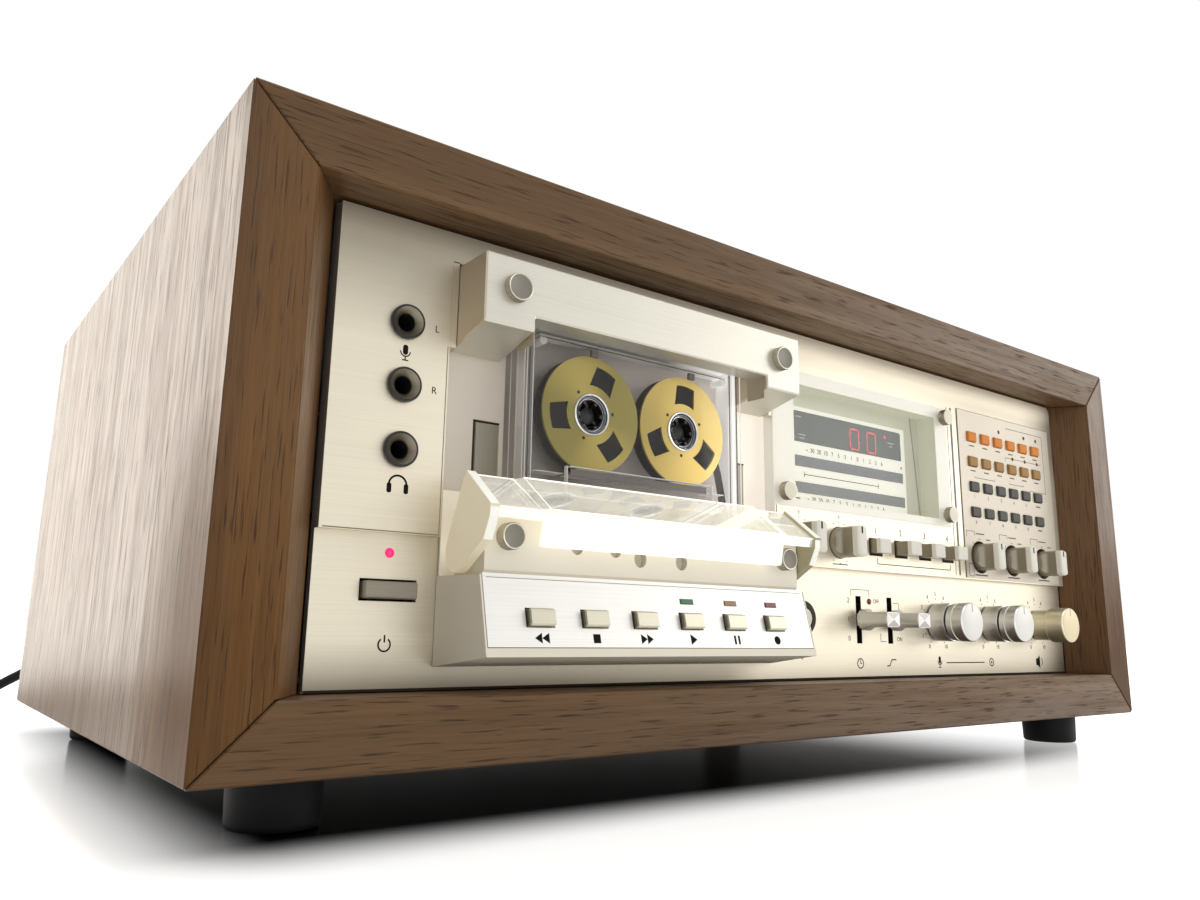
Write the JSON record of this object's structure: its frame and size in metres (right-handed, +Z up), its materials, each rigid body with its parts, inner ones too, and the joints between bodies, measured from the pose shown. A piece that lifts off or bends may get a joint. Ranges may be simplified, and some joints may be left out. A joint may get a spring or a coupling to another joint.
{
  "type": "cassette deck",
  "caption": "Cassette deck in a mitred walnut cabinet: open cassette bay with clear head cover, slanted key panel, display, level knobs, keypad and coiled mains lead.",
  "frame": {"origin": "middle of the footprint of the deck without its lead, on the surface it stands on", "axes": "+X to the right seen from the front, +Y to the rear, +Z up"},
  "size_m": [0.589, 0.4161, 0.2018],
  "materials": {
    "walnut": "satin walnut veneer",
    "champagne_metal": "fine brushed, champagne anodised",
    "beige_moulding": "satin beige metallic paint",
    "chrome_knob": "polished",
    "gold_knob": "turned, champagne-gold anodised",
    "knob_grey": "satin",
    "orange_plastic": "satin",
    "tan_plastic": "satin",
    "grey_plastic": "satin",
    "black_plastic": "satin",
    "black_rubber": "matte",
    "clear_plastic": "clear moulded acrylic",
    "reel_gold": "gold anodised",
    "display_grey": "satin",
    "zinc_steel": "zinc plated sheet",
    "core_steel": "varnished laminations",
    "board_green": "solder-masked laminate"
  },
  "bodies": {
    "root": {"cabinet_top": "walnut", "cabinet_bottom": "walnut", "cabinet_left": "walnut", "cabinet_right": "walnut", "foot_front_left": "black_rubber", "foot_front_right": "black_rubber", "foot_rear_left": "black_rubber", "foot_rear_right": "black_rubber", "rear_panel": "zinc_steel", "faceplate": "champagne_metal", "jack_block": "black_plastic", "cassette_bridge": "beige_moulding", "cassette_well": "beige_moulding", "control_housing": "beige_moulding", "control_fascia": "champagne_metal", "cassette_shell": "clear_plastic", "display_glass": "clear_plastic", "display_panel": "display_grey", "chassis": "zinc_steel", "power_transformer": "core_steel", "main_board": "board_green", "strain_relief": "black_rubber", "mains_cord": "black_rubber", "cord_coil": "black_rubber", "mains_plug": "black_rubber"},
    "power_button": {"power_button": "knob_grey"},
    "rewind_button": {"rewind_button": "champagne_metal"},
    "stop_button": {"stop_button": "champagne_metal"},
    "fast_forward_button": {"fast_forward_button": "champagne_metal"},
    "play_button": {"play_button": "champagne_metal"},
    "pause_button": {"pause_button": "champagne_metal"},
    "record_button": {"record_button": "champagne_metal"},
    "record_mute_button": {"record_mute_button": "champagne_metal"},
    "tape_button_1": {"tape_button_1": "knob_grey"},
    "tape_button_2": {"tape_button_2": "knob_grey"},
    "tape_button_3": {"tape_button_3": "knob_grey"},
    "tape_button_4": {"tape_button_4": "knob_grey"},
    "pitch_knob": {"pitch_knob": "knob_grey"},
    "bias_knob": {"bias_knob": "knob_grey"},
    "counter_selector": {"counter_selector": "knob_grey"},
    "display_selector": {"display_selector": "knob_grey"},
    "mode_selector": {"mode_selector": "knob_grey"},
    "mic_level_outer_knob": {"mic_level_outer_knob": "chrome_knob"},
    "mic_level_inner_knob": {"mic_level_inner_knob": "chrome_knob"},
    "line_level_outer_knob": {"line_level_outer_knob": "chrome_knob"},
    "line_level_inner_knob": {"line_level_inner_knob": "chrome_knob"},
    "output_level_knob": {"output_level_knob": "gold_knob"},
    "timer_lever": {"timer_lever": "chrome_knob"},
    "filter_lever": {"filter_lever": "chrome_knob"},
    "program_keys": {"program_keys": "orange_plastic"},
    "memory_keys": {"memory_keys": "tan_plastic"},
    "number_keys": {"number_keys": "grey_plastic"},
    "head_cover": {"cover_frame": "beige_moulding", "clear_cover": "clear_plastic"},
    "left_reel": {"reel_left": "reel_gold", "spindle_left": "black_plastic"},
    "right_reel": {"reel_right": "reel_gold", "spindle_right": "black_plastic"},
    "capstan": {"capstan_flywheel": "zinc_steel"},
    "head_block": {"head_block": "zinc_steel"}
  },
  "joints": [
    {"name": "power_press", "type": "slide", "parent": "root", "child": "power_button", "axis": [0, 1, 0], "range_m": [0, 0.002], "stiffness_N_per_m": 300},
    {"name": "rewind_press", "type": "slide", "parent": "root", "child": "rewind_button", "axis": [0, 0.9715, -0.2372], "range_m": [0, 0.0015], "stiffness_N_per_m": 250},
    {"name": "stop_press", "type": "slide", "parent": "root", "child": "stop_button", "axis": [0, 0.9715, -0.2372], "range_m": [0, 0.0015], "stiffness_N_per_m": 250},
    {"name": "fast_forward_press", "type": "slide", "parent": "root", "child": "fast_forward_button", "axis": [0, 0.9715, -0.2372], "range_m": [0, 0.0015], "stiffness_N_per_m": 250},
    {"name": "play_press", "type": "slide", "parent": "root", "child": "play_button", "axis": [0, 0.9715, -0.2372], "range_m": [0, 0.0015], "stiffness_N_per_m": 250},
    {"name": "pause_press", "type": "slide", "parent": "root", "child": "pause_button", "axis": [0, 0.9715, -0.2372], "range_m": [0, 0.0015], "stiffness_N_per_m": 250},
    {"name": "record_press", "type": "slide", "parent": "root", "child": "record_button", "axis": [0, 0.9715, -0.2372], "range_m": [0, 0.0015], "stiffness_N_per_m": 250},
    {"name": "record_mute_press", "type": "slide", "parent": "root", "child": "record_mute_button", "axis": [0, 1, 0], "range_m": [0, 0.0025], "stiffness_N_per_m": 250},
    {"name": "tape_1_press", "type": "slide", "parent": "root", "child": "tape_button_1", "axis": [0, 1, 0], "range_m": [-0.0029, 0]},
    {"name": "tape_2_press", "type": "slide", "parent": "root", "child": "tape_button_2", "axis": [0, 1, 0], "range_m": [0, 0.0029]},
    {"name": "tape_3_press", "type": "slide", "parent": "root", "child": "tape_button_3", "axis": [0, 1, 0], "range_m": [0, 0.0029]},
    {"name": "tape_4_press", "type": "slide", "parent": "root", "child": "tape_button_4", "axis": [0, 1, 0], "range_m": [0, 0.0029]},
    {"name": "pitch_turn", "type": "hinge", "parent": "root", "child": "pitch_knob", "pos_m": [-0.0053, -0.13785, 0.09245], "axis": [0, 1, 0], "range_deg": [-120, 120]},
    {"name": "bias_turn", "type": "hinge", "parent": "root", "child": "bias_knob", "pos_m": [0.0204, -0.13785, 0.09245], "axis": [0, 1, 0], "range_deg": [-120, 120]},
    {"name": "counter_select", "type": "hinge", "parent": "root", "child": "counter_selector", "pos_m": [0.128, -0.13785, 0.09245], "axis": [0, 1, 0], "range_deg": [-40, 40]},
    {"name": "display_select", "type": "hinge", "parent": "root", "child": "display_selector", "pos_m": [0.1578, -0.13785, 0.09245], "axis": [0, 1, 0], "range_deg": [-40, 40]},
    {"name": "mode_select", "type": "hinge", "parent": "root", "child": "mode_selector", "pos_m": [0.1876, -0.13785, 0.09245], "axis": [0, 1, 0], "range_deg": [-40, 40]},
    {"name": "mic_level_outer_turn", "type": "hinge", "parent": "root", "child": "mic_level_outer_knob", "pos_m": [0.0928, -0.13785, 0.06045], "axis": [0, 1, 0], "range_deg": [-150, 150]},
    {"name": "mic_level_inner_turn", "type": "hinge", "parent": "root", "child": "mic_level_inner_knob", "pos_m": [0.0928, -0.13785, 0.06045], "axis": [0, 1, 0], "range_deg": [-150, 150]},
    {"name": "line_level_outer_turn", "type": "hinge", "parent": "root", "child": "line_level_outer_knob", "pos_m": [0.1374, -0.13785, 0.06045], "axis": [0, 1, 0], "range_deg": [-150, 150]},
    {"name": "line_level_inner_turn", "type": "hinge", "parent": "root", "child": "line_level_inner_knob", "pos_m": [0.1374, -0.13785, 0.06045], "axis": [0, 1, 0], "range_deg": [-150, 150]},
    {"name": "output_level_turn", "type": "hinge", "parent": "root", "child": "output_level_knob", "pos_m": [0.182, -0.13785, 0.06045], "axis": [0, 1, 0], "range_deg": [-150, 150]},
    {"name": "timer_swing", "type": "hinge", "parent": "root", "child": "timer_lever", "pos_m": [0.0352, -0.11185, 0.06045], "axis": [1, 0, 0], "range_deg": [-12, 12]},
    {"name": "filter_swing", "type": "hinge", "parent": "root", "child": "filter_lever", "pos_m": [0.057, -0.11185, 0.06045], "axis": [1, 0, 0], "range_deg": [-12, 12]},
    {"name": "program_press", "type": "slide", "parent": "root", "child": "program_keys", "axis": [0, 1, 0], "range_m": [0, 0.001], "stiffness_N_per_m": 400},
    {"name": "memory_press", "type": "slide", "parent": "root", "child": "memory_keys", "axis": [0, 1, 0], "range_m": [0, 0.001], "stiffness_N_per_m": 400},
    {"name": "number_press", "type": "slide", "parent": "root", "child": "number_keys", "axis": [0, 1, 0], "range_m": [0, 0.001], "stiffness_N_per_m": 400},
    {"name": "cover_swing", "type": "hinge", "parent": "root", "child": "head_cover", "pos_m": [-0.0946, -0.14585, 0.07665], "axis": [1, 0, 0], "range_deg": [0, 30]},
    {"name": "left_reel_turn", "type": "hinge", "parent": "root", "child": "left_reel", "pos_m": [-0.1158, -0.13785, 0.12715], "axis": [0, 1, 0], "continuous": true},
    {"name": "right_reel_turn", "type": "hinge", "parent": "root", "child": "right_reel", "pos_m": [-0.0734, -0.13785, 0.12715], "axis": [0, 1, 0], "continuous": true},
    {"name": "capstan_turn", "type": "hinge", "parent": "root", "child": "capstan", "pos_m": [-0.0661, -0.13785, 0.09815], "axis": [0, 1, 0], "continuous": true},
    {"name": "head_lift", "type": "slide", "parent": "root", "child": "head_block", "axis": [0, 0, 1], "range_m": [0, 0.0054]}
  ]
}
